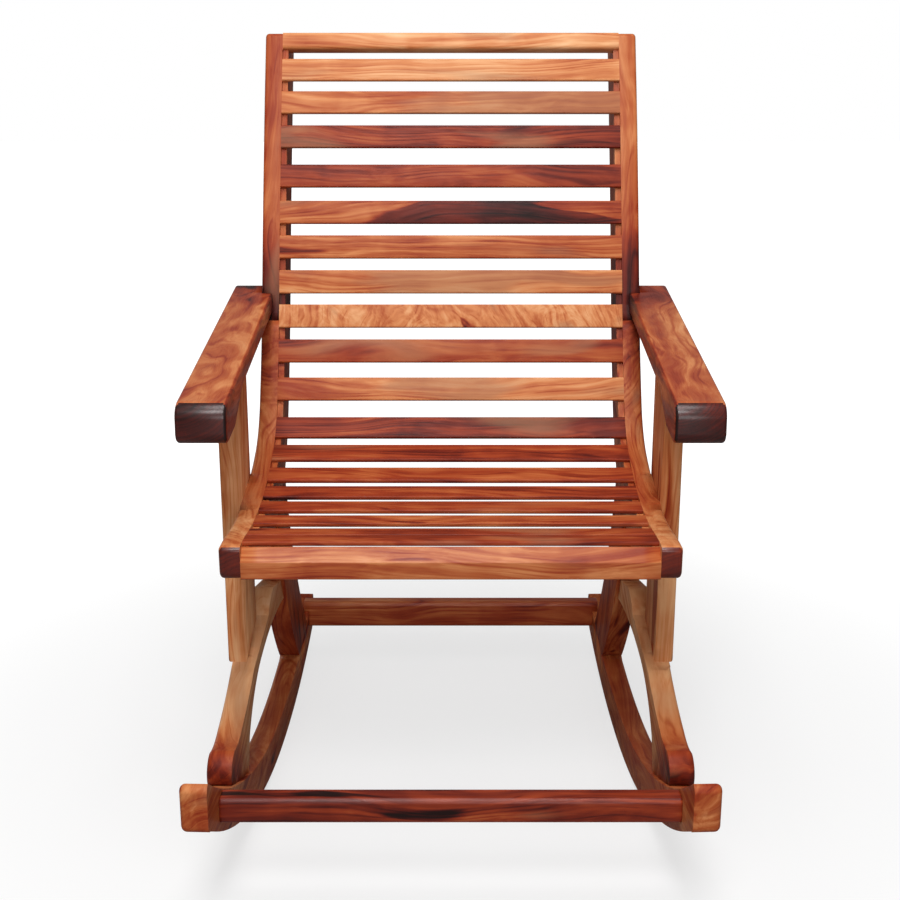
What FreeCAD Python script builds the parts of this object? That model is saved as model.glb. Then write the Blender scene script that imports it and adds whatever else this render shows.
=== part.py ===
import FreeCAD, Part

import math
import os

# Slatted wooden rocking chair, millimetres, +Z up, front towards -Y.
# Side outlines are laid out in "side view" coordinates: the first is the distance behind
# the front of the seat, the second is the height over the floor.

os.makedirs("parts", exist_ok=True)
doc = FreeCAD.newDocument("rocking_chair")
sheet = doc.addObject("Spreadsheet::Sheet", "Sizes")

driving = {
    "origin_back": 247.5,
    "seat_height": 420.0,
    "inner_face": 247.5,
    "rail_board": 25.5,
    "ledge_width": 8.0,
    "ledge_start": 16.5,
    "slat_thick": 6.0,
    "slat_round": 2.0,
    "crest_width": 26.0,
    "crest_thick": 20.0,
    "crest_round": 5.0,
    "crest_station": 938.0,
    "front_rail_deep": 16.0,
    "front_rail_tall": 36.5,
    "front_rail_drop": 4.0,
    "front_rail_round": 2.0,
    "front_rail_brow_deep": 13.0,
    "front_rail_brow_tall": 15.0,
    "rail_front_tall": 39.0,
    "rail_depth": 68.0,
    "rail_taper_end": 150.0,
    "rail_nose_round": 7.0,
    "post_tip_round": 9.0,
    "joint_station": 518.0,
    "arm_inner": 257.0,
    "arm_width": 60.0,
    "arm_thick": 25.0,
    "arm_nose_tall": 46.0,
    "arm_front": 5.0,
    "arm_rear": 472.0,
    "arm_front_top": 588.0,
    "arm_slope": 9.2,
    "arm_nose_round": 20.0,
    "leg_thick": 24.5,
    "leg_front": 168.0,
    "leg_rear": 262.0,
    "frame_thick": 32.0,
    "frame_outer": 294.0,
    "brace_proud": 5.0,
    "toe_in": 2.2,
    "contact_back": 308.5,
    "rocker_front_radius": 825.0,
    "rocker_rear_radius": 1050.0,
    "rocker_depth": 48.0,
    "rocker_front": -158.0,
    "rocker_rear": 660.0,
    "rocker_end_round": 9.0,
    "stretcher_deep": 28.0,
    "stretcher_round": 7.0,
    "front_stretcher_back": -92.0,
    "front_stretcher_low": 120.0,
    "front_stretcher_tall": 32.0,
    "front_stretcher_tenon_low": 125.0,
    "rear_stretcher_back": 620.0,
    "rear_stretcher_low": 66.0,
    "rear_stretcher_tall": 44.0,
    "rear_stretcher_tenon_low": 69.0,
    "tenon_tall": 22.0,
    "tenon_deep": 14.0,
    "tenon_long": 18.0,
    "slat_dowel_radius": 1.8,
    "slat_dowel_long": 24.0,
    "frame_dowel_radius": 4.0,
    "frame_dowel_long": 36.0,
}

# The seat line is a chain of tangent arcs, each with its length and its end heading in degrees
seat_arcs = [(60, -6), (110, 6), (140, 22), (85, 62), (170, 72), (386, 66)]
first_heading = 2.0
for letter, (length, heading) in zip("abcdef", seat_arcs):
    driving["arc_%s_length" % letter] = float(length)
    driving["arc_%s_heading" % letter] = float(heading)

# Middle of each slat along the seat line and its width, from the crest down to the front
slat_stations = [892, 842, 790, 731, 677, 626, 575, 525, 474,
                 418, 360, 313.5, 261.5, 214.5, 171, 123.5, 70, 34]
slat_widths = [34, 34, 34, 34, 34, 34, 34, 34, 34,
               34, 34, 34, 33, 31, 30, 31, 31, 28]
for number, (station, wide) in enumerate(zip(slat_stations, slat_widths), start=1):
    driving["station_slat_%02d" % number] = float(station)
    driving["width_slat_%02d" % number] = float(wide)

for row, (alias, value) in enumerate(driving.items(), start=1):
    sheet.set("A%d" % row, alias)
    sheet.set("B%d" % row, "%g" % value)
    sheet.setAlias("B%d" % row, alias)
doc.recompute()


def size(alias):
    """Value of one sheet cell."""
    return float(sheet.get(alias))


def bind(thing, **links):
    """Ties properties of an object to sheet cells; a double underscore stands for a dot."""
    for name, expression in links.items():
        words = [("Sizes." + word) if word in driving else word for word in expression.split()]
        thing.setExpression(name.replace("__", "."), " ".join(words))


def on_side(back, height):
    """Side view coordinates as a point in the middle plane of the chair."""
    return FreeCAD.Vector(0, back - size("origin_back"), height)


def seat_at(station):
    """Point of the seat line at a distance along it, and the heading there in degrees."""
    back = 0.0
    height = size("seat_height")
    heading = first_heading
    left = station
    for letter in "abcdef":
        length = size("arc_%s_length" % letter)
        turn = size("arc_%s_heading" % letter) - heading
        part = min(left, length)
        here = turn * part / length
        chord = part
        if here:
            chord = 2 * length / math.radians(turn) * math.sin(math.radians(here / 2))
        middle = math.radians(heading + here / 2)
        back += chord * math.cos(middle)
        height += chord * math.sin(middle)
        heading += here
        left -= part
        if left <= 0:
            break
    return back, height, heading


def under_seat(station, depth):
    """Side view point at a depth square to the seat line."""
    back, height, heading = seat_at(station)
    lean = math.radians(heading)
    return back + depth * math.sin(lean), height - depth * math.cos(lean)


def rail_depth_at(station):
    """The side rail grows from its low front end to its full depth."""
    share = min(station / size("rail_taper_end"), 1.0)
    eased = math.sin(share * math.pi / 2)
    return size("rail_front_tall") + eased * (size("rail_depth") - size("rail_front_tall"))


def contact_line(back, lift):
    """Height of a line that runs the given distance inside the rocker's underside."""
    offset = back - size("contact_back")
    radius = size("rocker_front_radius") if offset < 0 else size("rocker_rear_radius")
    return radius - math.sqrt((radius - lift) ** 2 - offset ** 2)


def arc_through(first, middle, last):
    """Sketch arc through three side view points."""
    points = [FreeCAD.Vector(spot[0], spot[1], 0) for spot in (first, middle, last)]
    circle = Part.Arc(*points).toShape().Curve
    centre = circle.Center
    angles = [math.atan2(p.y - centre.y, p.x - centre.x) for p in points]
    start, through, end = angles
    through = (through - start) % (2 * math.pi)
    sweep = (end - start) % (2 * math.pi)
    if through > sweep:
        start, sweep = end, 2 * math.pi - sweep
    flat = Part.Circle(centre, FreeCAD.Vector(0, 0, 1), circle.Radius)
    return Part.ArcOfCircle(flat, start, start + sweep)


def outline_edges(steps):
    """Sketch edges for a closed outline.

    Each step is a side view point reached by a straight line, or a pair (through, point)
    reached by an arc. The outline starts and ends at the last step's point.
    """
    shift = size("origin_back")

    def local(spot):
        return spot[0] - shift, spot[1]

    edges = []
    here = local(steps[-1][1] if isinstance(steps[-1][0], tuple) else steps[-1])
    for step in steps:
        if isinstance(step[0], tuple):
            through, target = local(step[0]), local(step[1])
            edges.append(arc_through(here, through, target))
        else:
            target = local(step)
            start = FreeCAD.Vector(here[0], here[1], 0)
            end = FreeCAD.Vector(target[0], target[1], 0)
            edges.append(Part.LineSegment(start, end))
        here = target
    return edges


def add_outline(body, name, steps):
    """Closed sketch in the body's own side plane."""
    sketch = body.newObject("Sketcher::SketchObject", name)
    plane = [item for item in body.Origin.OriginFeatures if item.Role == "YZ_Plane"][0]
    sketch.AttachmentSupport = [(plane, "")]
    sketch.MapMode = "FlatFace"
    sketch.addGeometry(outline_edges(steps), False)
    return sketch


def add_pad(body, name, steps, length_cell, reverse=False):
    """Board layer of one outline."""
    sketch = add_outline(body, name + "_outline", steps)
    pad = body.newObject("PartDesign::Pad", name)
    pad.Profile = sketch
    pad.Reversed = reverse
    bind(pad, Length=length_cell)
    return pad


def new_body(name):
    body = doc.addObject("PartDesign::Body", name)
    body.Label = name
    return body


def cut(name, base, tool):
    result = doc.addObject("Part::Cut", name)
    result.Base = base
    result.Tool = tool
    result.Label = name
    return result


def compound(name, links):
    result = doc.addObject("Part::Compound", name)
    result.Links = links
    result.Label = name
    return result


def dowel(name, kind, centre, direction):
    """Round dowel with its middle at a point, along a direction."""
    peg = doc.addObject("Part::Cylinder", name)
    bind(peg, Radius=kind + "_radius", Height=kind + "_long")
    turn = FreeCAD.Rotation(FreeCAD.Vector(0, 0, 1), direction)
    half = turn.multVec(FreeCAD.Vector(0, 0, size(kind + "_long") / 2))
    peg.Placement = FreeCAD.Placement(centre - half, turn)
    return peg


def toed(x, back, height):
    """Point of the lower frame, given across, back and up before the frame is toed in."""
    return toe_placement().multVec(FreeCAD.Vector(x, back - size("origin_back"), height))


def toe_placement():
    """The lower side frames turn inwards to the rear about the frame's outer face."""
    pivot = FreeCAD.Vector(size("frame_outer"), -size("origin_back"), 0)
    turn = FreeCAD.Rotation(FreeCAD.Vector(0, 0, 1), size("toe_in"))
    return FreeCAD.Placement(FreeCAD.Vector(0, 0, 0), turn, pivot)


arc_ends = [sum(length for length, heading in seat_arcs[:count])
            for count in range(1, len(seat_arcs) + 1)]
top_station = arc_ends[-1]

# Side rails: an outer board, and a thinner inner layer that makes the ledge under the slats

def rail_outline(first, last, ledge):
    """Outline of the rail between two stations, lowered by the slats where it is the ledge."""
    drop = size("slat_thick") if ledge else 0.0
    nose = size("rail_nose_round") if first == 0 else 0.0
    tip = size("post_tip_round") if last == top_station else 0.0
    stops = [first + nose] + [s for s in arc_ends if first < s < last] + [last - tip]
    steps = []
    for start, end in zip(stops, stops[1:]):
        steps.append((under_seat((start + end) / 2, drop), under_seat(end, drop)))
    if tip:
        ease = tip * (1 - math.sqrt(0.5))
        steps.append((under_seat(last - ease, drop + ease), under_seat(last, drop + tip)))
        steps.append(under_seat(last, rail_depth_at(last)))
    steps.append(under_seat(last - tip, rail_depth_at(last)))
    for end, start in zip(stops[::-1], stops[::-1][1:]):
        middle = (start + end) / 2
        steps.append((under_seat(middle, rail_depth_at(middle)),
                      under_seat(start, rail_depth_at(start))))
    if nose:
        ease = nose * (1 - math.sqrt(0.5))
        deep = rail_depth_at(0)
        steps.append((under_seat(ease, deep - ease), under_seat(0, deep - nose)))
        steps.append(under_seat(0, nose))
        steps.append((under_seat(ease, ease), under_seat(nose, 0)))
    else:
        steps.append(under_seat(first, drop))
    return steps


def rail_body(name, first, last, ledge_first):
    body = new_body(name)
    add_pad(body, name + "_board", rail_outline(first, last, False), "rail_board")
    add_pad(body, name + "_ledge", rail_outline(ledge_first, last, True), "ledge_width", True)
    bind(body, Placement__Base__x="inner_face")
    return body


seat_rail = rail_body("seat_rail_blank", 0, size("joint_station"), size("ledge_start"))
back_post = rail_body("back_post_blank", size("joint_station"), top_station,
                      size("joint_station"))

# Lower side frame: rocker, curved brace, rear leg and the two stretchers between the rockers


def frame_board(name, steps, proud=0.0):
    """Board of the lower frame in its toed plane, outer face first."""
    body = new_body(name)
    add_pad(body, name + "_board", steps, "frame_thick", True)
    outer = FreeCAD.Vector(size("frame_outer") + proud, 0, 0)
    shift = FreeCAD.Placement(outer, FreeCAD.Rotation())
    body.Placement = toe_placement() * shift
    return body


def rocker_outline():
    front, rear = size("rocker_front"), size("rocker_rear")
    low = size("contact_back")
    depth = size("rocker_depth")
    nose = size("rocker_end_round")

    def under(back):
        return back, contact_line(back, 0)

    def top(back):
        return back, contact_line(back, depth)

    ease = nose * (1 - math.sqrt(0.5))
    front_low = contact_line(front + nose, 0)
    front_top = contact_line(front + nose, depth)
    rear_low = contact_line(rear - nose, 0)
    rear_top = contact_line(rear - nose, depth)
    return [
        (under((front + nose + low) / 2), under(low)),
        (under((rear - nose + low) / 2), under(rear - nose)),
        ((rear - ease, rear_low + ease), (rear, rear_low + nose)),
        (rear, rear_top - nose),
        ((rear - ease, rear_top - ease), (rear - nose, rear_top)),
        (top((rear - nose + low) / 2), top(low)),
        (top((front + nose + low) / 2), top(front + nose)),
        ((front + ease, front_top - ease), (front, front_top - nose)),
        (front, front_low + nose),
        ((front + ease, front_low + ease), (front + nose, front_low)),
    ]


rocker_blank = frame_board("rocker_blank", rocker_outline())

# The rear leg leaves the side rail near the bend and sweeps back to its foot on the rocker
rear_leg_outline = [
    ((374, 250), (498, 60)),
    (604, 60),
    ((480, 230), (404, 452)),
    (393, 436),
    (353, 408),
    (336, 400),
]
rear_leg_blank = frame_board("rear_leg_blank", rear_leg_outline)

# The brace rises from a rounded foot, carries the front leg and ends against the rear leg
brace_seat_front = (150.0, 195.0)
brace_seat_rear = (270.0, 225.0)
brace_outline = [
    (4, 98),
    ((-9, 132), (13, 151)),
    ((38, 150), (60, 156)),
    ((104, 172), brace_seat_front),
    brace_seat_rear,
    ((288, 241), (312, 250)),
    (410, 231),
    (410, 200),
    ((285, 203), (215, 191)),
    ((150, 163), (108, 122)),
    (88, 70),
]
brace_blank = frame_board("brace_blank", brace_outline, size("brace_proud"))

# Front leg: an upright board on the outside of the side rail
arm_rise = math.tan(math.radians(size("arm_slope")))
brace_rise = (brace_seat_rear[1] - brace_seat_front[1]) / (brace_seat_rear[0] - brace_seat_front[0])


def arm_top(back):
    return size("arm_front_top") + (back - size("arm_front")) * arm_rise


def brace_top(back):
    return brace_seat_front[1] + (back - brace_seat_front[0]) * brace_rise


leg_front, leg_rear = size("leg_front"), size("leg_rear")
arm_plumb = size("arm_thick") / math.cos(math.radians(size("arm_slope")))
front_leg_blank = new_body("front_leg_blank")
add_pad(front_leg_blank, "front_leg_board", [
    (leg_front, arm_top(leg_front) - arm_plumb),
    (leg_rear, arm_top(leg_rear) - arm_plumb),
    (leg_rear, brace_top(leg_rear)),
    (leg_front, brace_top(leg_front)),
], "leg_thick")
bind(front_leg_blank, Placement__Base__x="inner_face + rail_board")

# Arm: a board that slopes down to a deep rolled nose


def arm_outline():
    front, rear = size("arm_front"), size("arm_rear")
    nose = size("arm_nose_round")
    ease = nose * (1 - math.sqrt(0.5))
    low = size("arm_front_top") - size("arm_nose_tall")
    return [
        ((front + ease, arm_top(front + nose) - ease), (front + nose, arm_top(front + nose))),
        (rear, arm_top(rear)),
        (rear + 4, arm_top(rear + 4) - arm_plumb),
        (front + 128, arm_top(front + 128) - arm_plumb),
        ((front + 92, low + 22), (front + 62, low + 6)),
        (front + 12, low),
        ((front + 3, low + 4), (front - 1, low + 14)),
        (front, arm_top(front) - nose + 2),
    ]


arm_blank = new_body("arm_blank")
add_pad(arm_blank, "arm_board", arm_outline(), "arm_width")
bind(arm_blank, Placement__Base__x="arm_inner")

# Stretchers: rounded bars trimmed square to the toed rockers, with a tenon at each end


def mirrored(name, source):
    twin = doc.addObject("Part::Mirroring", name)
    twin.Source = source
    twin.Normal = FreeCAD.Vector(1, 0, 0)
    twin.Label = name
    return twin


rockers_both = compound("rockers_both", [rocker_blank, mirrored("rocker_blank_left", rocker_blank)])


def stretcher(name):
    """Returns the finished stretcher and its tenon bar."""
    back, low = size(name + "_back"), size(name + "_low")
    inner = toed(size("frame_outer") - size("frame_thick"), back, low).x
    bar = doc.addObject("Part::Box", name + "_bar")
    bind(bar, Width="stretcher_deep", Height=name + "_tall")
    bar.Length = 2 * (inner + size("tenon_long") / 2)
    bar.Placement.Base = FreeCAD.Vector(-bar.Length.Value / 2,
                                        back - size("origin_back") - size("stretcher_deep") / 2, low)
    doc.recompute()
    rounded = doc.addObject("Part::Fillet", name + "_rounded")
    rounded.Base = bar
    radius = size("stretcher_round")
    rounded.Edges = [(index, radius, radius) for index, edge in enumerate(bar.Shape.Edges, start=1)
                     if edge.BoundBox.XLength > inner]
    trimmed = cut(name + "_trimmed", rounded, rockers_both)
    tenon = doc.addObject("Part::Box", name + "_tenon")
    bind(tenon, Width="tenon_deep", Height="tenon_tall")
    tenon.Length = 2 * (inner + size("tenon_long"))
    tenon.Placement.Base = FreeCAD.Vector(
        -tenon.Length.Value / 2,
        back - size("origin_back") - size("tenon_deep") / 2,
        size(name + "_tenon_low"))
    whole = doc.addObject("Part::Fuse", name)
    whole.Base = trimmed
    whole.Tool = tenon
    whole.Label = name
    return whole, tenon


front_stretcher, front_tenon = stretcher("front_stretcher")
rear_stretcher, rear_tenon = stretcher("rear_stretcher")
tenon_bars = compound("tenon_bars", [front_tenon, rear_tenon])

# Cross members between the side rails


def lying_box(name, wide, thick, station):
    """Box from side to side whose face lies on the seat line, centred on a station."""
    bar = doc.addObject("Part::Box", name + "_blank")
    bind(bar, Length="2 * inner_face", Width=wide, Height=thick)
    back, height, heading = seat_at(station)
    turn = FreeCAD.Rotation(FreeCAD.Vector(1, 0, 0), heading)
    corner = turn.multVec(FreeCAD.Vector(-size("inner_face"), -size(wide) / 2, -size(thick)))
    bar.Placement = FreeCAD.Placement(on_side(back, height) + corner, turn)
    return bar


def rounded_bar(name, bar, round_cell):
    """Eases the long edges of a bar."""
    doc.recompute()
    radius = size(round_cell)
    rounded = doc.addObject("Part::Fillet", name + "_rounded")
    rounded.Base = bar
    rounded.Edges = [(index, radius, radius) for index, edge in enumerate(bar.Shape.Edges, start=1)
                     if edge.BoundBox.XLength > size("inner_face")]
    return rounded


across = FreeCAD.Vector(1, 0, 0)
slat_pegs = []


def pegs_for(name, station, depth):
    """One small dowel at each end of a cross member."""
    back, height = under_seat(station, depth)
    for side, word in ((1, "right"), (-1, "left")):
        centre = on_side(back, height) + across * (side * size("inner_face"))
        slat_pegs.append(dowel("%s_peg_%s" % (name, word), "slat_dowel", centre, across))


members = {}
for number in range(1, len(slat_stations) + 1):
    name = "slat_%02d" % number
    station = size("station_slat_%02d" % number)
    wide = "width_slat_%02d" % number
    members[name] = rounded_bar(name, lying_box(name, wide, "slat_thick", station), "slat_round")
    pegs_for(name, station, size("slat_thick") / 2)

crest_station = size("crest_station")
members["crest_rail"] = rounded_bar(
    "crest_rail", lying_box("crest_rail", "crest_width", "crest_thick", crest_station),
    "crest_round")
for number, shift in enumerate((-7, 7), start=1):
    pegs_for("crest_%d" % number, crest_station + shift, size("crest_thick") / 2)

# The front rail has a broad sloping brow under the sitter's knees
front_rail_deep = size("front_rail_deep")
front_rail_top = size("seat_height") - size("front_rail_drop")
front_rail_low = front_rail_top - size("front_rail_tall")
front_rail_bar = new_body("front_seat_rail_blank")
add_pad(front_rail_bar, "front_seat_rail_board", [
    (front_rail_deep, front_rail_top),
    (size("front_rail_brow_deep"), front_rail_top),
    (0, front_rail_top - size("front_rail_brow_tall")),
    (0, front_rail_low),
    (front_rail_deep, front_rail_low),
], "2 * inner_face")
bind(front_rail_bar, Placement__Base__x="-1 * inner_face")
members["front_seat_rail"] = rounded_bar("front_seat_rail", front_rail_bar, "front_rail_round")
front_rail_middle = size("front_rail_drop") + size("front_rail_tall") / 2
for number, shift in enumerate((-8, 8), start=1):
    pegs_for("front_rail_%d" % number, size("front_rail_deep") / 2, front_rail_middle + shift)

# Frame dowels, listed for the right side and mirrored to the left
frame_pegs = []
up = FreeCAD.Vector(0, 0, 1)
plane_middle = size("frame_outer") - size("frame_thick") / 2
rail_outer = size("inner_face") + size("rail_board")


def frame_peg(name, centre, direction):
    frame_pegs.append(dowel(name, "frame_dowel", centre, direction))


for number, back in enumerate((190, 240), start=1):
    frame_peg("leg_to_rail_%d" % number, on_side(back, 392) + across * rail_outer, across)
    frame_peg("leg_to_brace_%d" % number, on_side(back, brace_top(back) + 3) + across * 281.0, up)
    frame_peg("leg_to_arm_%d" % number,
              on_side(back, arm_top(back) - arm_plumb) + across * 285.0, up)
for number, back in enumerate((24, 60), start=1):
    frame_peg("brace_to_rocker_%d" % number,
              toed(plane_middle, back, contact_line(back, size("rocker_depth"))), up)
for number, back in enumerate((516, 552), start=1):
    frame_peg("leg_to_rocker_%d" % number,
              toed(plane_middle, back, contact_line(back, size("rocker_depth"))), up)
frame_peg("brace_to_leg", toed(plane_middle, 380, 216), FreeCAD.Vector(0, 1, 0))
rail_bottom = under_seat(350, size("rail_depth"))
lean = math.radians(seat_at(350)[2])
frame_peg("rear_leg_to_rail", on_side(*rail_bottom) + across * 261.5,
          FreeCAD.Vector(0, math.sin(lean), -math.cos(lean)))
frame_peg("arm_to_post", on_side(456, arm_top(456) - size("arm_thick") / 2) + across * rail_outer,
          across)
joint_back, joint_height, joint_heading = seat_at(size("joint_station"))
along = FreeCAD.Vector(0, math.cos(math.radians(joint_heading)),
                       math.sin(math.radians(joint_heading)))
for number, depth in enumerate((24, 50), start=1):
    frame_peg("rail_to_post_%d" % number,
              on_side(*under_seat(size("joint_station"), depth)) + across * 257.0, along)

slat_dowels = compound("slat_dowels", slat_pegs)
right_pegs = compound("frame_dowels_right", frame_pegs)
frame_dowels = compound("frame_dowels", [right_pegs, mirrored("frame_dowels_left", right_pegs)])
all_dowels = compound("all_dowels", [slat_dowels, frame_dowels])

# Finished pieces: each blank less its neighbours and its dowel holes
nodes = {}


def finish_pair(name, blank, *tools):
    """Right piece with every tool cut away, and its mirrored left twin."""
    shape = blank
    for number, tool in enumerate(tools):
        shape = cut("%s_cut_%d" % (name, number), shape, tool)
    nodes[name + "_right"] = cut(name + "_right", shape, all_dowels)
    nodes[name + "_left"] = mirrored(name + "_left", nodes[name + "_right"])


finish_pair("seat_rail", seat_rail)
finish_pair("back_post", back_post)
finish_pair("rocker", rocker_blank, tenon_bars)
finish_pair("rear_leg", rear_leg_blank, seat_rail, rocker_blank)
finish_pair("leg_brace", brace_blank, rear_leg_blank, rocker_blank)
finish_pair("front_leg", front_leg_blank, brace_blank)
finish_pair("arm", arm_blank, back_post, seat_rail)
for name, bar in members.items():
    nodes[name] = cut(name, bar, all_dowels)
nodes["front_stretcher"] = front_stretcher
nodes["rear_stretcher"] = rear_stretcher
nodes["slat_dowels"] = slat_dowels
nodes["frame_dowels"] = frame_dowels

doc.recompute()
for thing in doc.Objects:
    if "Invalid" in thing.State or "Error" in thing.State:
        raise RuntimeError("%s did not compute: %s" % (thing.Label, thing.State))
single = set(nodes) - {"slat_dowels", "frame_dowels"}
weight = 0.0
moment = FreeCAD.Vector()
for name, thing in nodes.items():
    shape = thing.Shape
    if shape.isNull() or not shape.isValid():
        raise RuntimeError("%s has no valid shape" % name)
    if name in single and len(shape.Solids) != 1:
        raise RuntimeError("%s is %d solids" % (name, len(shape.Solids)))
    for solid in shape.Solids:
        weight += solid.Volume
        moment += solid.CenterOfMass * solid.Volume
    shape.exportStep("parts/%s.step" % name)
print("%d nodes" % len(nodes))
print("centre of volume", moment / weight, "litres", weight / 1e6)
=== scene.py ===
import math

import bmesh
import bpy
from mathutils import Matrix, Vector
from mathutils.bvhtree import BVHTree


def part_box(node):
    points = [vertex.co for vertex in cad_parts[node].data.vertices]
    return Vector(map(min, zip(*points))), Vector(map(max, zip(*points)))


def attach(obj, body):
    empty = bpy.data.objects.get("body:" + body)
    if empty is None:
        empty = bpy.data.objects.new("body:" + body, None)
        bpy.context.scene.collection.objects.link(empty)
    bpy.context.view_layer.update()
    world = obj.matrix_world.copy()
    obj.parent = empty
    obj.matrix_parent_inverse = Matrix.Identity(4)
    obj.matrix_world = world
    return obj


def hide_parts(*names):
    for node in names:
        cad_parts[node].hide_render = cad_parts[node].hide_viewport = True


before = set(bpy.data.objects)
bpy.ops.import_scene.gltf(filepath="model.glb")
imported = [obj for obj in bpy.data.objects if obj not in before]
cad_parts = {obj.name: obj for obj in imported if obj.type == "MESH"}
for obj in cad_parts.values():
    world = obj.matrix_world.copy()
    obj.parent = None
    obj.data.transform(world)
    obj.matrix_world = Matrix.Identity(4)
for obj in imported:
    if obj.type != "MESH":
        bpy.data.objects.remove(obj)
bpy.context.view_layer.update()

body = "root"
millimetre = 0.001
sides = {"left": -1, "right": 1}
acrossChair = Vector((1, 0, 0))
print("frame loaded:", len(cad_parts), "nodes")


# Shader maths

class Socket:
    def __init__(self, net, link):
        self.net = net
        self.link = link

    def maths(self, operation, *values):
        return self.net.node("ShaderNodeMath", {"operation": operation}, values)

    def __add__(self, other):
        return self.maths("ADD", self, other)

    def __radd__(self, other):
        return self.maths("ADD", other, self)

    def __sub__(self, other):
        return self.maths("SUBTRACT", self, other)

    def __rsub__(self, other):
        return self.maths("SUBTRACT", other, self)

    def __mul__(self, other):
        return self.maths("MULTIPLY", self, other)

    def __rmul__(self, other):
        return self.maths("MULTIPLY", other, self)

    def __abs__(self):
        return self.maths("ABSOLUTE", self)


class Net:
    def __init__(self, name):
        self.material = bpy.data.materials.new(name)
        self.material.use_nodes = True
        self.tree = self.material.node_tree
        self.tree.nodes.clear()

    def node(self, kind, settings=None, inputs=(), output=0):
        made = self.tree.nodes.new(kind)
        for key, value in (settings or {}).items():
            if key == "stops":
                self.fillRamp(made.color_ramp, value)
            else:
                setattr(made, key, value)
        pairs = inputs.items() if isinstance(inputs, dict) else enumerate(inputs)
        for key, value in pairs:
            if isinstance(value, Socket):
                self.tree.links.new(value.link, made.inputs[key])
            else:
                made.inputs[key].default_value = value
        return Socket(self, made.outputs[output]) if made.outputs else None

    def fillRamp(self, ramp, stops):
        while len(ramp.elements) < len(stops):
            ramp.elements.new(1.0)
        for element, (place, colour) in zip(ramp.elements, stops):
            element.position = place
            element.color = (*colour, 1.0)

    def vector(self, operation, *values, output=0):
        return self.node("ShaderNodeVectorMath", {"operation": operation}, values, output)

    def attribute(self, name, output):
        return self.node("ShaderNodeAttribute", {"attribute_name": name}, output=output)

    def noise(self, place, detail=2.0, roughness=0.5, distortion=0.0, output="Fac"):
        return self.node("ShaderNodeTexNoise", {}, {
            "Vector": place, "Scale": 1.0, "Detail": detail,
            "Roughness": roughness, "Distortion": distortion}, output)

    def step(self, value, low, high, start=0.0, end=1.0):
        return self.node("ShaderNodeMapRange", {"interpolation_type": "SMOOTHSTEP"},
                         (value, low, high, start, end))

    def finish(self, surface):
        self.node("ShaderNodeOutputMaterial", {}, {"Surface": surface})
        return self.material


def linear(red, green, blue):
    # Colours are written as they look on a screen, from 0 to 255
    def curve(value):
        value /= 255
        return value / 12.92 if value <= 0.04045 else ((value + 0.055) / 1.055) ** 2.4
    return curve(red), curve(green), curve(blue)


# Wood: one palette from pale honey sapwood to near black heartwood, read by tone

woodPalette = [
    (0.00, linear(236, 190, 146)),
    (0.16, linear(224, 165, 116)),
    (0.32, linear(204, 128, 78)),
    (0.46, linear(176, 90, 48)),
    (0.60, linear(148, 56, 28)),
    (0.74, linear(108, 33, 19)),
    (0.88, linear(66, 19, 15)),
    (1.00, linear(30, 10, 8)),
]
smokyWood = linear(158, 110, 80)

# What every wood shares. A scale is along, across and through the board; a pair is the part of
# the noise that is stretched to its full range.

woodNoise = {
    "even": (0.34, 0.66), "patch": (0.32, 0.68), "heart": (0.66, 0.71),
    "veinBreakScale": (9.0, 60.0, 60.0), "veinBreak": (0.42, 0.58),
    "fibreScale": (8.0, 330.0, 330.0), "fibre": (0.3, 0.7),
    "poreScale": (40.0, 1100.0, 1100.0), "pore": (0.60, 0.72), "poreDepth": 0.04,
    "smokeScale": (4.0, 22.0, 22.0), "smoke": (0.58, 0.74),
    "zonePull": 0.3, "veinStart": 7.0,
    "reliefHeight": 0.0003, "fibreRelief": 0.3, "poreRelief": 0.6,
    "fibreRough": 0.05, "poreRough": 0.10,
}


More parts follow.
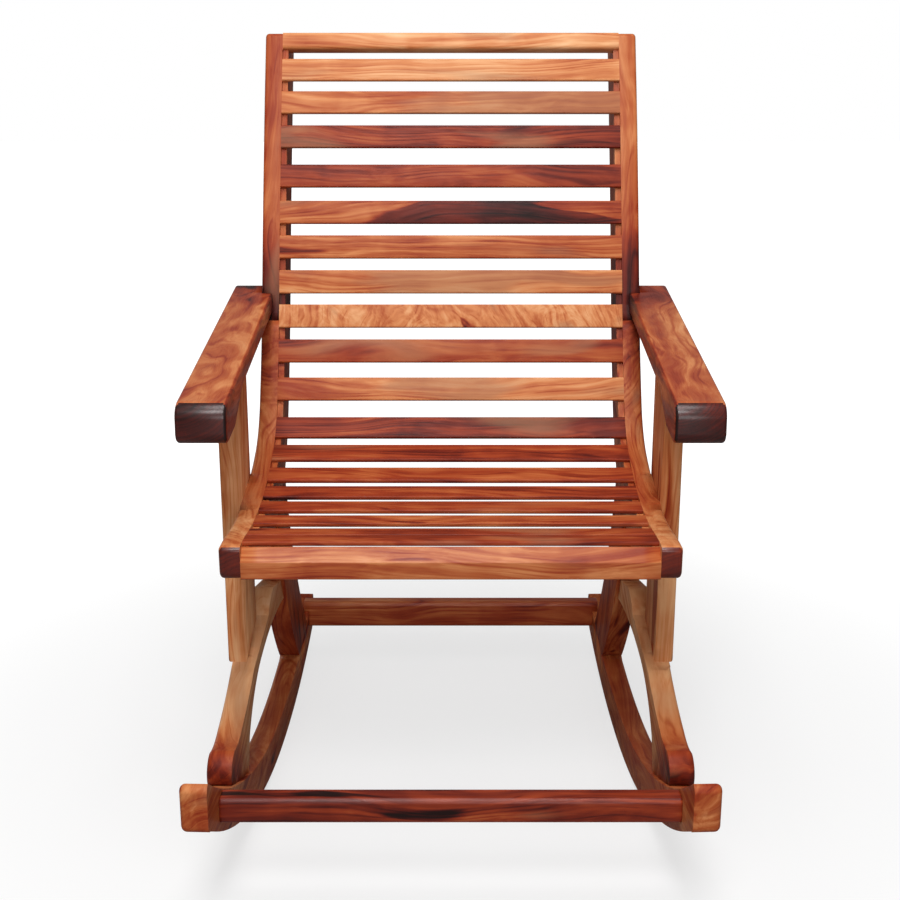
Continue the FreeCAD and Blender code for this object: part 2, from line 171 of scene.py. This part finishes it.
def woodMaterial(name, look):
    net = Net(name)
    grain = net.attribute("grain", "Vector")
    tone = net.attribute("tone", "Fac")
    streak = net.attribute("streak", "Fac")
    smoky = net.attribute("smoke", "Fac")

    # The board wanders through the log, so its rings drift and close into flames
    slow = net.vector("MULTIPLY", grain, look["wanderScale"])
    drift = net.noise(slow, output="Color")
    drift = net.vector("SUBTRACT", drift, (0.5, 0.5, 0.5))
    drift = net.vector("MULTIPLY", drift, (0.0, look["wander"], look["wander"]))
    warped = net.vector("ADD", grain, drift)
    flat = net.vector("MULTIPLY", warped, (0.0, 1.0, 1.0))
    radius = net.vector("LENGTH", flat, output="Value")
    ring = net.node("ShaderNodeTexNoise", {"noise_dimensions": "1D"}, {
        "W": radius * look["ringsPerMetre"], "Scale": 1.0, "Detail": 2.0, "Roughness": 0.5})
    bands = net.step(ring, *woodNoise["even"], -1.0, 1.0)
    vein = net.node("ShaderNodeTexNoise", {"noise_dimensions": "1D"}, {
        "W": radius * look["veinsPerMetre"] + woodNoise["veinStart"], "Scale": 1.0, "Detail": 0.0})
    vein = net.step(abs(vein - 0.5), 0.0, look["veinWidth"], 1.0, 0.0)
    broken = net.noise(net.vector("MULTIPLY", grain, woodNoise["veinBreakScale"]), detail=1.0)
    vein = vein * net.step(broken, *woodNoise["veinBreak"])

    # Slow patches, sharp edged heartwood, a lustre across the grain, fine fibres and pores
    patch = net.noise(net.vector("MULTIPLY", warped, look["patchScale"]), roughness=0.55)
    patch = net.step(patch, *woodNoise["patch"], -1.0, 1.0)
    heart = net.noise(net.vector("MULTIPLY", warped, look["heartScale"]), distortion=0.3)
    heart = net.step(heart + streak * woodNoise["zonePull"], *woodNoise["heart"])
    flame = net.noise(net.vector("MULTIPLY", warped, look["flameScale"]), distortion=0.5)
    flame = net.step(flame, *woodNoise["even"], -1.0, 1.0)
    figure = net.noise(net.vector("MULTIPLY", grain, look["figureScale"]),
                       distortion=look["figureTwist"])
    figure = net.step(figure, *woodNoise["even"], -1.0, 1.0)
    fibre = net.noise(net.vector("MULTIPLY", warped, woodNoise["fibreScale"]), detail=3.0,
                      roughness=0.6)
    fibre = net.step(fibre, *woodNoise["fibre"], -1.0, 1.0)
    pores = net.noise(net.vector("MULTIPLY", grain, woodNoise["poreScale"]), detail=1.0)
    pores = net.step(pores, *woodNoise["pore"])

    shade = tone + look["toneShift"] + bands * look["ringDepth"] + vein * look["veinDepth"]
    shade = shade + patch * look["patchDepth"] + figure * look["figureDepth"]
    shade = shade + flame * look["flameDepth"] + fibre * look["fibreDepth"]
    shade = shade + pores * woodNoise["poreDepth"] + heart * look["heartDepth"]
    colour = net.node("ShaderNodeValToRGB", {"stops": woodPalette}, {"Fac": shade}, "Color")
    smoke = net.noise(net.vector("MULTIPLY", warped, woodNoise["smokeScale"]))
    smoke = net.step(smoke + smoky * woodNoise["zonePull"], *woodNoise["smoke"], 0.0, look["smoke"])
    colour = net.node("ShaderNodeMix", {"data_type": "RGBA"}, {
        0: smoke, 6: colour, 7: (*smokyWood, 1.0)}, 2)

    relief = fibre * woodNoise["fibreRelief"] - pores * woodNoise["poreRelief"]
    normal = net.node("ShaderNodeBump", {}, {
        "Strength": look["bump"], "Distance": woodNoise["reliefHeight"], "Height": relief}, "Normal")
    rough = look["roughness"] + fibre * woodNoise["fibreRough"] + pores * woodNoise["poreRough"]
    surface = net.node("ShaderNodeBsdfPrincipled", {}, {
        "Base Color": colour, "Roughness": rough, "Normal": normal,
        "Coat Weight": look["coat"], "Coat Roughness": look["coatRoughness"],
        "Specular IOR Level": look["shine"]}, "BSDF")
    return net.finish(surface)


boardLook = {
    "wanderScale": (2.6, 9.0, 9.0), "wander": 0.10, "ringsPerMetre": 90.0, "ringDepth": 0.05,
    "veinsPerMetre": 60.0, "veinWidth": 0.04, "veinDepth": 0.11, "toneShift": 0.0,
    "patchScale": (3.5, 22.0, 22.0), "patchDepth": 0.07, "flameScale": (9.0, 95.0, 95.0),
    "flameDepth": 0.045, "heartScale": (2.2, 24.0, 24.0), "heartDepth": 0.28,
    "figureScale": (16.0, 10.0, 10.0), "figureTwist": 0.4, "figureDepth": 0.03,
    "fibreDepth": 0.022, "smoke": 0.5, "bump": 0.2, "roughness": 0.46, "shine": 0.12,
    "coat": 0.02, "coatRoughness": 0.25,
}
armLook = dict(boardLook, wanderScale=(7.0, 13.0, 13.0), wander=0.10, ringsPerMetre=48.0,
               ringDepth=0.09, veinsPerMetre=34.0, veinDepth=0.12, patchScale=(9.0, 20.0, 20.0),
               patchDepth=0.09, flameScale=(16.0, 40.0, 40.0), flameDepth=0.05,
               heartScale=(7.0, 18.0, 18.0), smoke=0.15, roughness=0.36, shine=0.3,
               coat=0.2, coatRoughness=0.15)
barLook = dict(boardLook, shine=0.22, roughness=0.36, coat=0.05)
endLook = dict(boardLook, toneShift=0.44, wander=0.01, ringsPerMetre=300.0, ringDepth=0.035,
               veinDepth=0.02, patchDepth=0.05, flameDepth=0.0, heartDepth=0.0, figureDepth=0.03,
               fibreDepth=0.015, smoke=0.0, roughness=0.36, shine=0.3, coat=0.25,
               coatRoughness=0.22)

boardWood = woodMaterial("board_wood", boardLook)
barWood = woodMaterial("bar_wood", barLook)
armWood = woodMaterial("arm_wood", armLook)
endWood = woodMaterial("end_grain", endLook)
print("wood materials made")


def fillAttribute(mesh, name, kind, field, values):
    mesh.attributes.new(name, kind, "POINT").data.foreach_set(field, values)


nearlyUpright = 0.1


def boardAxes(along, look):
    # A board lies level across its length; an upright board and an arm lie across the chair
    along = along.normalized()
    across = Vector((0, 0, 1)).cross(along)
    if across.length < nearlyUpright or look.get("flatAcrossX"):
        across = acrossChair
    across = (across - along * across.dot(along)).normalized()
    return along, across, along.cross(across)


logHeart = (0.03, 0.06)
boardSpacing = 3.17
shadedRimWidth = 0.003


def setBoard(piece, along, look):
    # Writes each vertex's place in its board: along, across and through, from the log's heart.
    # A zone is a word, its middle along the board, its half length, its depth and its slant.
    # A rim is the side whose edge is painted darker, and by how much: painted shade, with darker
    # heartwood along it.
    mesh = piece.data
    along, across, through = boardAxes(along, look)
    middle = sum((Vector(corner) for corner in piece.bound_box), Vector()) / 8
    slant = look.get("slant", 0.0)
    shadedRim = look.get("shadedRim")
    places = [[(vertex.co - middle).dot(axis) for axis in (along, across, through)]
              for vertex in mesh.vertices]
    half = max(abs(place[1]) for place in places)
    grain = []
    words = {"tone": [], "streak": [], "smoke": []}
    for run, wide, deep in places:
        grain += [run + look["seed"] * boardSpacing, wide + logHeart[0] + slant * run,
                  deep + logHeart[1]]
        values = {"tone": look["tone"], "streak": look["streak"], "smoke": 0.0}
        for word, centre, width, depth, lean in look.get("zones", ()):
            away = min(abs(run - centre - lean * wide / half) / width, 1.0)
            values[word] += depth * (1 - away) ** 2 * (1 + 2 * away)
        # The rim edge gets painted shade, with darker heartwood along it
        if shadedRim and wide * shadedRim[0] > half - shadedRimWidth:
            values["tone"] += shadedRim[1]
        for word, value in values.items():
            words[word].append(value)
    fillAttribute(mesh, "grain", "FLOAT_VECTOR", "vector", grain)
    for word, values in words.items():
        fillAttribute(mesh, word, "FLOAT", "value", values)


sharpFrom = math.radians(32)


def smooth(mesh):
    for polygon in mesh.polygons:
        polygon.use_smooth = True
    mesh.set_sharp_from_angle(angle=sharpFrom)


def own(piece, nodes):
    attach(piece, body)
    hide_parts(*nodes)


# Boards: a clean copy of the CAD board with its free edges rounded over

rounding = {
    "weld": 0.02 * millimetre, "flatAngle": math.radians(0.6), "edgeAngle": math.radians(28),
    "touchGap": 0.4 * millimetre, "touchShares": (0.15, 0.5, 0.85),
    "outward": 0.9, "outerSegments": 5, "sliceGap": 0.01 * millimetre,
}


def surfaceOf(names):
    joined = bmesh.new()
    for name in names:
        joined.from_mesh(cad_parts[name].data)
    tree = BVHTree.FromBMesh(joined)
    joined.free()
    return tree


def roundedBoard(name, node, radius, segments, slices, neighbours=(), outer=None):
    # Edges where a neighbour touches stay sharp. The outer value is a side of the chair and the
    # larger radius there. The slices are a direction and a length, so that vertices are close
    # enough to carry the grain.
    source = bmesh.new()
    source.from_mesh(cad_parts[node].data)
    bmesh.ops.remove_doubles(source, verts=source.verts, dist=rounding["weld"])
    bmesh.ops.dissolve_limit(source, angle_limit=rounding["flatAngle"], verts=source.verts,
                             edges=source.edges)
    touching = surfaceOf(neighbours) if neighbours else None

    def free(edge):
        if len(edge.link_faces) != 2 or edge.calc_face_angle(0) < rounding["edgeAngle"]:
            return False
        if not touching:
            return True
        ends = [vertex.co for vertex in edge.verts]
        spots = [ends[0].lerp(ends[1], share) for share in rounding["touchShares"]]
        gaps = [touching.find_nearest(spot)[3] for spot in spots]
        return min(gaps) > rounding["touchGap"]

    if outer:
        side, softer = outer
        edges = [edge for edge in source.edges if free(edge)
                 and any(face.normal.x * side > rounding["outward"] for face in edge.link_faces)]
        bmesh.ops.bevel(source, geom=edges, offset=softer, offset_type="OFFSET",
                        segments=rounding["outerSegments"], profile=0.5, affect="EDGES",
                        clamp_overlap=False)
    edges = [edge for edge in source.edges if free(edge)]
    bmesh.ops.bevel(source, geom=edges, offset=radius, offset_type="OFFSET", segments=segments,
                    profile=0.5, affect="EDGES", clamp_overlap=True)
    along, pitch = slices
    reach = [vertex.co.dot(along) for vertex in source.verts]
    count = int((max(reach) - min(reach)) / pitch)
    for number in range(1, count):
        spot = along * (min(reach) + (max(reach) - min(reach)) * number / count)
        bmesh.ops.bisect_plane(source, geom=source.verts[:] + source.edges[:] + source.faces[:],
                               dist=rounding["sliceGap"], plane_co=spot, plane_no=along)
    bmesh.ops.triangulate(source, faces=source.faces, quad_method="BEAUTY", ngon_method="BEAUTY")
    mesh = bpy.data.meshes.new(name)
    source.to_mesh(mesh)
    source.free()
    smooth(mesh)
    piece = bpy.data.objects.new(name, mesh)
    bpy.context.scene.collection.objects.link(piece)
    return piece


boards = {
    "seat_rail": {
        "radius": 0.003, "outer": 0.005, "slot": "rail_wood", "wood": boardWood,
        "touches": ["back_post", "front_leg", "rear_leg", "arm"],
        "left": {"tone": 0.46, "streak": 0.0, "seed": 1.0,
                 "zones": [("tone", 0.26, 0.14, 0.22, 0.0), ("tone", -0.2, 0.14, -0.14, 0.0)]},
        "right": {"tone": 0.44, "streak": 0.0, "seed": 2.0,
                  "zones": [("tone", 0.26, 0.14, 0.22, 0.0), ("tone", -0.2, 0.14, -0.14, 0.0)]},
        "along": Vector((0, 1, 0.4)),
    },
    "back_post": {
        "radius": 0.003, "outer": 0.005, "slot": "rail_wood", "wood": boardWood,
        "touches": ["seat_rail", "arm"],
        "left": {"tone": 0.50, "streak": 0.0, "seed": 3.0,
                 "zones": [("tone", -0.22, 0.20, 0.44, 0.03)]},
        "right": {"tone": 0.48, "streak": 0.0, "seed": 4.0,
                  "zones": [("tone", -0.22, 0.20, 0.44, -0.03)]},
        "along": Vector((0, 0.4, 1)),
    },
    "arm": {
        "radius": 0.004, "slot": "arm_wood", "wood": armWood,
        "touches": ["back_post", "front_leg"],
        # The rim paints the arm's inner side darker: painted shade, with darker heartwood along it
        "left": {"tone": 0.46, "streak": 0.05, "seed": 5.0, "flatAcrossX": True,
                 "shadedRim": (1, 0.24), "zones": [("tone", 0.24, 0.14, 0.22, 0.0)]},
        "right": {"tone": 0.44, "streak": 0.05, "seed": 6.0, "flatAcrossX": True,
                  "shadedRim": (-1, 0.24), "zones": [("tone", 0.24, 0.14, 0.22, 0.0)]},
        "along": Vector((0, 1, 0.162)),
    },
    "front_leg": {
        "radius": 0.003, "slot": "frame_wood", "wood": boardWood,
        "touches": ["seat_rail", "arm", "leg_brace"],
        "left": {"tone": 0.24, "streak": 0.0, "seed": 7.0},
        "right": {"tone": 0.28, "streak": 0.0, "seed": 8.0},
        "along": Vector((0, 0, 1)),
    },
    "rear_leg": {
        "radius": 0.003, "slot": "frame_wood", "wood": boardWood,
        "touches": ["seat_rail", "leg_brace", "rocker"],
        "left": {"tone": 0.56, "streak": 0.2, "seed": 9.0},
        "right": {"tone": 0.56, "streak": 0.2, "seed": 10.0},
        "along": Vector((0, 0.35, -1)),
    },
    "leg_brace": {
        "radius": 0.003, "outer": 0.007, "slot": "frame_wood", "wood": boardWood,
        "touches": ["front_leg", "rear_leg", "rocker"],
        "left": {"tone": 0.18, "streak": 0.0, "seed": 11.0,
                 "zones": [("tone", -0.21, 0.12, 0.50, 0.0)]},
        "right": {"tone": 0.22, "streak": 0.0, "seed": 12.0,
                  "zones": [("tone", -0.21, 0.12, 0.48, 0.0)]},
        "along": Vector((0, 1, 0.4)),
    },
    "rocker": {
        "radius": 0.003, "outer": 0.007, "slot": "frame_wood", "wood": boardWood,
        "touches": ["leg_brace", "rear_leg"],
        "left": {"tone": 0.46, "streak": 0.0, "seed": 13.0},
        "right": {"tone": 0.46, "streak": 0.0, "seed": 14.0},
        "along": Vector((0, 1, 0)),
    },
}


# Dark end grain covers the noses: the faces in front of a line that look forward

noses = {
    "arm": {"facing": -0.45, "line": -0.16},
    "seat_rail": {"facing": -0.6, "line": -0.235},
}


def paintNose(piece, nose):
    piece.data.materials.append(endWood)
    for polygon in piece.data.polygons:
        if polygon.normal.y < nose["facing"] and polygon.center.y < nose["line"]:
            polygon.material_index = 1


boardSlice = 0.012
boardSegments = 3

for kind, board in boards.items():
    for side in sides:
        node = "%s_%s" % (kind, side)
        neighbours = ["%s_%s" % (other, side) for other in board["touches"]]
        piece = roundedBoard(node + "_board", node, board["radius"], boardSegments,
                             (board["along"].normalized(), boardSlice), neighbours,
                             (sides[side], board["outer"]) if "outer" in board else None)
        setBoard(piece, board["along"], board[side])
        piece.data.materials.append(board["wood"])
        if kind in noses:
            paintNose(piece, noses[kind])
        own(piece, [node])
print("boards made")

# Cross members: one geometry node tree makes every rounded bar

barCuts = {"corner": 5, "length": 25}


def barTree():
    tree = bpy.data.node_groups.new("roundedBar", "GeometryNodeTree")
    face = tree.interface
    face.new_socket("Geometry", in_out="OUTPUT", socket_type="NodeSocketGeometry")
    sizes = (("Length", "NodeSocketFloat"), ("Width", "NodeSocketFloat"),
             ("Thickness", "NodeSocketFloat"), ("Edge", "NodeSocketFloat"),
             ("Place", "NodeSocketVector"), ("Lean", "NodeSocketFloat"),
             ("Wood", "NodeSocketMaterial"))
    for label, kind in sizes:
        face.new_socket(label, in_out="INPUT", socket_type=kind)
    make = tree.nodes.new
    link = tree.links.new
    given = make("NodeGroupInput")

    # Rounded rectangle section, swept along the bar
    section = make("GeometryNodeCurvePrimitiveQuadrilateral")
    link(given.outputs["Width"], section.inputs["Width"])
    link(given.outputs["Thickness"], section.inputs["Height"])
    corners = make("GeometryNodeFilletCurve")
    corners.mode = "POLY"
    corners.inputs["Count"].default_value = barCuts["corner"]
    corners.inputs["Limit Radius"].default_value = True
    link(section.outputs[0], corners.inputs[0])
    link(given.outputs["Edge"], corners.inputs["Radius"])

    spine = make("GeometryNodeCurvePrimitiveLine")
    for end, share in (("Start", -0.5), ("End", 0.5)):
        reach = make("ShaderNodeMath")
        reach.operation = "MULTIPLY"
        reach.inputs[1].default_value = share
        link(given.outputs["Length"], reach.inputs[0])
        point = make("ShaderNodeCombineXYZ")
        link(reach.outputs[0], point.inputs["X"])
        link(point.outputs[0], spine.inputs[end])
    cuts = make("GeometryNodeResampleCurve")
    cuts.mode = "COUNT"
    cuts.inputs["Count"].default_value = barCuts["length"]
    link(spine.outputs[0], cuts.inputs["Curve"])
    sweep = make("GeometryNodeCurveToMesh")
    sweep.inputs["Fill Caps"].default_value = True
    link(cuts.outputs[0], sweep.inputs["Curve"])
    link(corners.outputs[0], sweep.inputs["Profile Curve"])

    turn = make("ShaderNodeCombineXYZ")
    link(given.outputs["Lean"], turn.inputs["X"])
    move = make("GeometryNodeTransform")
    link(sweep.outputs[0], move.inputs["Geometry"])
    link(given.outputs["Place"], move.inputs["Translation"])
    link(turn.outputs[0], move.inputs["Rotation"])
    real = make("GeometryNodeRealizeInstances")
    link(move.outputs[0], real.inputs[0])
    wood = make("GeometryNodeSetMaterial")
    link(real.outputs[0], wood.inputs["Geometry"])
    link(given.outputs["Wood"], wood.inputs["Material"])
    result = make("NodeGroupOutput")
    link(wood.outputs[0], result.inputs["Geometry"])
    return tree


barMaker = barTree()


def madeBy(tree, name, values):
    # Runs a geometry node tree with these inputs and keeps the result as a plain mesh
    host = bpy.data.objects.new(name, bpy.data.meshes.new(name + "_host"))
    bpy.context.scene.collection.objects.link(host)
    modifier = host.modifiers.new("maker", "NODES")
    modifier.node_group = tree
    for item in tree.interface.items_tree:
        if item.item_type == "SOCKET" and item.in_out == "INPUT" and item.name in values:
            modifier[item.identifier] = values[item.name]
    view = bpy.context.evaluated_depsgraph_get()
    view.update()
    mesh = bpy.data.meshes.new_from_object(host.evaluated_get(view))
    host.modifiers.remove(modifier)
    host.data = mesh
    return host


def leanOf(node):
    # The broadest face of a bar gives its lean about the X axis
    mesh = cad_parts[node].data
    upward = [polygon for polygon in mesh.polygons if polygon.normal.z > 0.05]
    broad = max(upward, key=lambda polygon: polygon.area)
    return math.atan2(-broad.normal.y, broad.normal.z)


bars = {
    "crest_rail": {"width": 0.026, "thick": 0.020, "edge": 0.005, "tone": 0.24, "streak": 0.0,
                   "seed": 21,
                   "zones": [("tone", -0.2, 0.16, 0.10, 0.0), ("tone", 0.25, 0.1, 0.08, 0.0)]},
    "slat_01": {"tone": 0.28, "streak": 0.0, "seed": 22,
                "zones": [("tone", 0.18, 0.16, 0.06, 0.0)]},
    "slat_02": {"tone": 0.45, "streak": 0.0, "seed": 23,
                "zones": [("smoke", 0.08, 0.3, 0.9, 0.0)]},
    "slat_03": {"tone": 0.68, "streak": 0.0, "seed": 24},
    "slat_04": {"tone": 0.64, "streak": 0.0, "seed": 25},
    "slat_05": {"tone": 0.54, "streak": 0.0, "seed": 26,
                "zones": [("streak", 0.05, 0.20, 0.9, 0.06), ("streak", 0.0, 0.5, 0.25, 0.0)]},
    "slat_06": {"tone": 0.47, "streak": 0.0, "seed": 27,
                "zones": [("tone", -0.05, 0.06, 0.12, 0.0)]},
    "slat_07": {"tone": 0.34, "streak": 0.0, "seed": 28,
                "zones": [("smoke", 0.0, 0.13, 1.2, 0.02)]},
    "slat_08": {"tone": 0.33, "streak": 0.0, "seed": 29, "slant": 1.1},
    "slat_09": {"tone": 0.60, "streak": 0.0, "seed": 30},
    "slat_10": {"tone": 0.33, "streak": 0.0, "seed": 31,
                "zones": [("tone", -0.22, 0.12, 0.15, 0.0), ("smoke", 0.0, 0.3, 0.3, 0.0)]},
    "slat_11": {"tone": 0.66, "streak": 0.0, "seed": 32},
    "slat_12": {"tone": 0.64, "streak": 0.0, "seed": 33},
    "slat_13": {"width": 0.033, "tone": 0.60, "streak": 0.0, "seed": 34},
    "slat_14": {"width": 0.031, "tone": 0.64, "streak": 0.1, "seed": 35},
    "slat_15": {"width": 0.030, "tone": 0.53, "streak": 0.1, "seed": 36},
    "slat_16": {"width": 0.031, "tone": 0.52, "streak": 0.0, "seed": 37},
    "slat_17": {"width": 0.031, "tone": 0.60, "streak": 0.0, "seed": 38},
    "slat_18": {"width": 0.028, "tone": 0.62, "streak": 0.1, "seed": 39},
}
slatSize = {"width": 0.034, "thick": 0.006, "edge": 0.002}

for name, bar in bars.items():
    low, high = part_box(name)
    shape = {**slatSize, **bar}
    piece = madeBy(barMaker, name + "_bar", {
        "Length": high.x - low.x, "Width": shape["width"], "Thickness": shape["thick"],
        "Edge": shape["edge"], "Place": (low + high) / 2,
        "Lean": leanOf(name), "Wood": boardWood})
    smooth(piece.data)
    setBoard(piece, acrossChair, bar)
    own(piece, [name])
print("cross members made")

# The front rail and the stretchers keep their CAD shape, cleaned and smoothed

rails = {
    "front_seat_rail": {"tone": 0.46, "streak": 0.0, "seed": 40, "slot": "slat_wood"},
    "front_stretcher": {"tone": 0.64, "streak": 0.0, "seed": 51, "slot": "stretcher_wood"},
    "rear_stretcher": {"tone": 0.50, "streak": 0.0, "seed": 52, "slot": "stretcher_wood"},
}
railShape = {"radius": 0.0005, "segments": 1, "slice": 0.02}

for name, look in rails.items():
    piece = roundedBoard(name + "_bar", name, railShape["radius"], railShape["segments"],
                         (acrossChair, railShape["slice"]))
    setBoard(piece, acrossChair, look)
    piece.data.materials.append(barWood)
    own(piece, [name])
print("rails made")

# Dowels are hidden in the joints and keep their CAD meshes

dowelLook = {
    "fibreScale": (60.0, 900.0, 900.0), "roughness": 0.5, "fibreRough": 0.2,
    "colours": [(0.3, linear(196, 156, 108)), (0.7, linear(172, 128, 82))],
}


def dowelMaterial():
    net = Net("dowel_wood")
    place = net.node("ShaderNodeTexCoord", output="Object")
    fibre = net.noise(net.vector("MULTIPLY", place, dowelLook["fibreScale"]))
    colour = net.node("ShaderNodeValToRGB", {"stops": dowelLook["colours"]}, (fibre,), "Color")
    rough = dowelLook["roughness"] + (fibre - 0.5) * dowelLook["fibreRough"]
    surface = net.node("ShaderNodeBsdfPrincipled", {}, {
        "Base Color": colour, "Roughness": rough}, "BSDF")
    return net.finish(surface)


dowelWood = dowelMaterial()
for name in ("slat_dowels", "frame_dowels"):
    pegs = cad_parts[name]
    pegs.data.materials.clear()
    pegs.data.materials.append(dowelWood)

# Studio: white background, a floor that glows white far away with painted shadow near the chair,
# soft lamps

studio = {
    "glowInPaintedShade": 0.68, "glowFar": 1.14, "paintedShadeRing": 0.4, "farRing": 2.2,
    "floorReach": 30.0, "floorColour": 0.28, "worldLight": 0.20,
    "aim": (0, 0, 0.45),
    "lamps": [
        {"name": "keyLamp", "at": (-0.3, -2.7, 3.3), "size": 1.3, "power": 70.0},
        {"name": "fillLamp", "at": (0.3, -3.4, 1.1), "size": 1.3, "power": 26.0},
        {"name": "topLamp", "at": (0.0, -0.7, 3.2), "size": 1.5, "power": 44.0},
        {"name": "rearLamp", "at": (-2.7, 2.7, 0.9), "size": 1.4, "power": 14.0},
    ],
}


def floorMaterial():
    net = Net("studio_floor")
    seen = net.node("ShaderNodeLightPath", output="Is Camera Ray")
    place = net.node("ShaderNodeTexCoord", output="Object")
    away = net.vector("LENGTH", place, output="Value")
    # The camera sees the floor glow weaker near the chair, a painted shadow under it, rising to full
    # white far away
    glowWithPaintedShade = net.step(away, studio["paintedShadeRing"], studio["farRing"],
                       studio["glowInPaintedShade"], studio["glowFar"])
    diffuse = net.node("ShaderNodeBsdfDiffuse", {}, {
        "Color": (studio["floorColour"],) * 3 + (1.0,)}, "BSDF")
    shown = net.node("ShaderNodeCombineXYZ", {}, (seen * glowWithPaintedShade,) * 3)
    glow = net.node("ShaderNodeEmission", {}, {"Color": shown, "Strength": 1.0}, "Emission")
    return net.finish(net.node("ShaderNodeAddShader", {}, (diffuse, glow)))


floorMesh = bpy.data.meshes.new("studio_floor")
reach = studio["floorReach"]
floorCorners = [(-reach, -reach, 0), (reach, -reach, 0), (reach, reach, 0), (-reach, reach, 0)]
floorMesh.from_pydata(floorCorners, [], [(0, 1, 2, 3)])
floorObject = bpy.data.objects.new("studio_floor", floorMesh)
bpy.context.scene.collection.objects.link(floorObject)
floorMesh.materials.append(floorMaterial())

world = bpy.data.worlds.new("studio")
world.use_nodes = True
bpy.context.scene.world = world
worldNodes = world.node_tree.nodes
worldLinks = world.node_tree.links
backdrop = worldNodes["Background"]
path = worldNodes.new("ShaderNodeLightPath")
brightness = worldNodes.new("ShaderNodeMapRange")
brightness.inputs["To Min"].default_value = studio["worldLight"]
brightness.inputs["To Max"].default_value = 1.0
worldLinks.new(path.outputs["Is Camera Ray"], brightness.inputs["Value"])
worldLinks.new(brightness.outputs[0], backdrop.inputs["Strength"])
backdrop.inputs["Color"].default_value = (1, 1, 1, 1)

for lamp in studio["lamps"]:
    light = bpy.data.lights.new(lamp["name"], "AREA")
    light.shape = "DISK"
    light.size = lamp["size"]
    light.energy = lamp["power"]
    holder = bpy.data.objects.new(lamp["name"], light)
    holder.location = lamp["at"]
    aim = Vector(studio["aim"]) - Vector(lamp["at"])
    holder.rotation_euler = aim.to_track_quat("-Z", "Y").to_euler()
    bpy.context.scene.collection.objects.link(holder)

# The place and lens of the photo's camera, measured from the front edge of the seat

camera = {"fromSeat": -1.440, "seatFront": -0.2475, "height": 0.924, "tilt": 15.0,
          "lens": 52.0, "shift": -0.00083}
view = bpy.data.cameras.new("photoCamera")
view.sensor_width = 36.0
view.lens = camera["lens"]
view.shift_x = camera["shift"]
holder = bpy.data.objects.new("photoCamera", view)
holder.location = (0, camera["fromSeat"] + camera["seatFront"], camera["height"])
holder.rotation_euler = (math.radians(90 - camera["tilt"]), 0, 0)
bpy.context.scene.collection.objects.link(holder)
bpy.context.scene.camera = holder
bpy.context.scene.view_settings.view_transform = "Standard"
print("studio ready")
